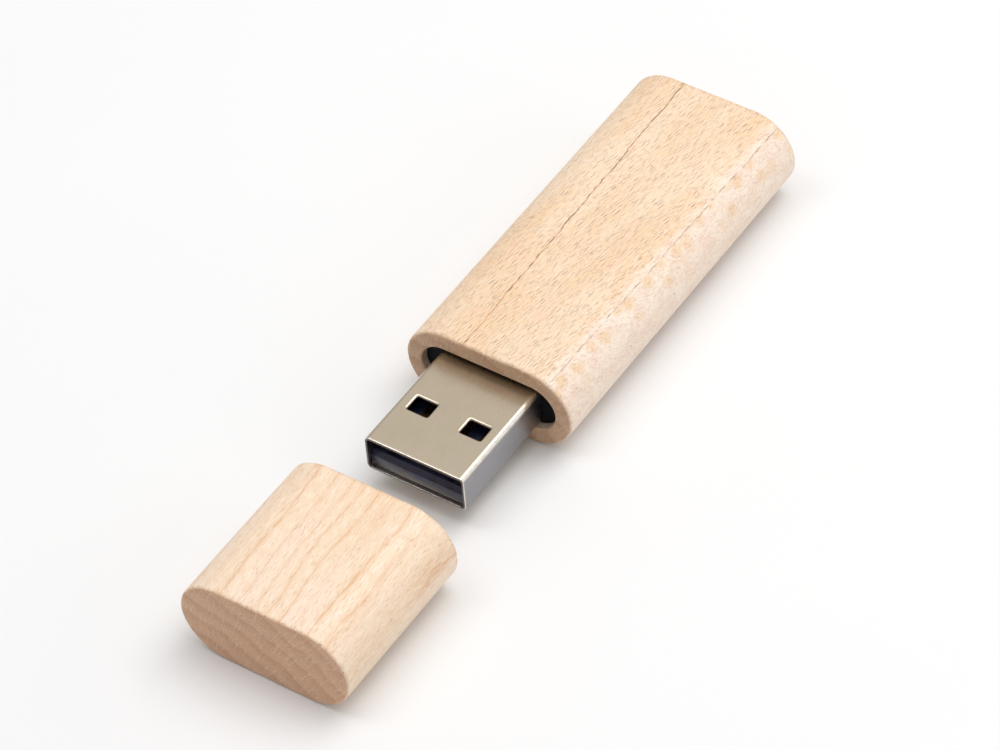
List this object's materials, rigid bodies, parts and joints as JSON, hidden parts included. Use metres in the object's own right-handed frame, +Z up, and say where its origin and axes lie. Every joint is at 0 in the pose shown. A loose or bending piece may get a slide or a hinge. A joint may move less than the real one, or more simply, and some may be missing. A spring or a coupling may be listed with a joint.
{
  "type": "usb flash drive",
  "caption": "Memory stick with a flat-oval maple wood housing, a nickel-plated USB type A plug and a separate pull-off maple cap.",
  "frame": {"origin": "bottom centre of the whole, cap included, on the surface that the drive lies on", "axes": "+Y runs from the plug towards the housing's rear end, so the plug points along -Y; +Z is up, out of the flat top; +X is the plug's right-hand side seen from the tip's side with the top up"},
  "size_m": [0.02, 0.0834, 0.01],
  "materials": {
    "maple": "sanded, unvarnished, fine pores along the grain",
    "nickel_plate": "satin nickel plate on pressed steel sheet",
    "black_plastic": "moulded, semi-matt",
    "gold_plate": "thin gold plate",
    "board_green": "glass-fibre laminate with green solder mask",
    "chip_black": "moulded epoxy",
    "tin": "tinned, semi-bright",
    "ceramic_tan": "fired, matt",
    "ceramic_dark": "fired, matt",
    "magnet_nickel": "bright nickel plate",
    "glue": "set hot-melt glue"
  },
  "bodies": {
    "drive": {"wood_housing": "maple", "plug_shell": "nickel_plate", "plug_insulator": "black_plastic", "contact_ground": "gold_plate", "contact_data_plus": "gold_plate", "contact_data_minus": "gold_plate", "contact_power": "gold_plate", "circuit_board": "board_green", "contact_solder": "tin", "leg_solder": "tin", "controller_chip": "chip_black", "controller_leads": "tin", "memory_chip": "chip_black", "memory_leads": "tin", "crystal_base": "ceramic_dark", "crystal_lid": "tin", "capacitor_bodies": "ceramic_tan", "capacitor_ends": "tin", "resistor_bodies": "ceramic_dark", "resistor_ends": "tin", "ferrite_bead": "ceramic_dark", "ferrite_bead_ends": "tin", "regulator_body": "chip_black", "regulator_leads": "tin", "board_carrier": "black_plastic", "carrier_glue": "glue"},
    "cap": {"wood_cap": "maple", "cap_magnet": "magnet_nickel", "magnet_glue": "glue"}
  },
  "joints": [
    {"name": "cap_push_on", "type": "slide", "parent": "drive", "child": "cap", "axis": [0, 1, 0], "range_m": [0, 0.0202]}
  ]
}
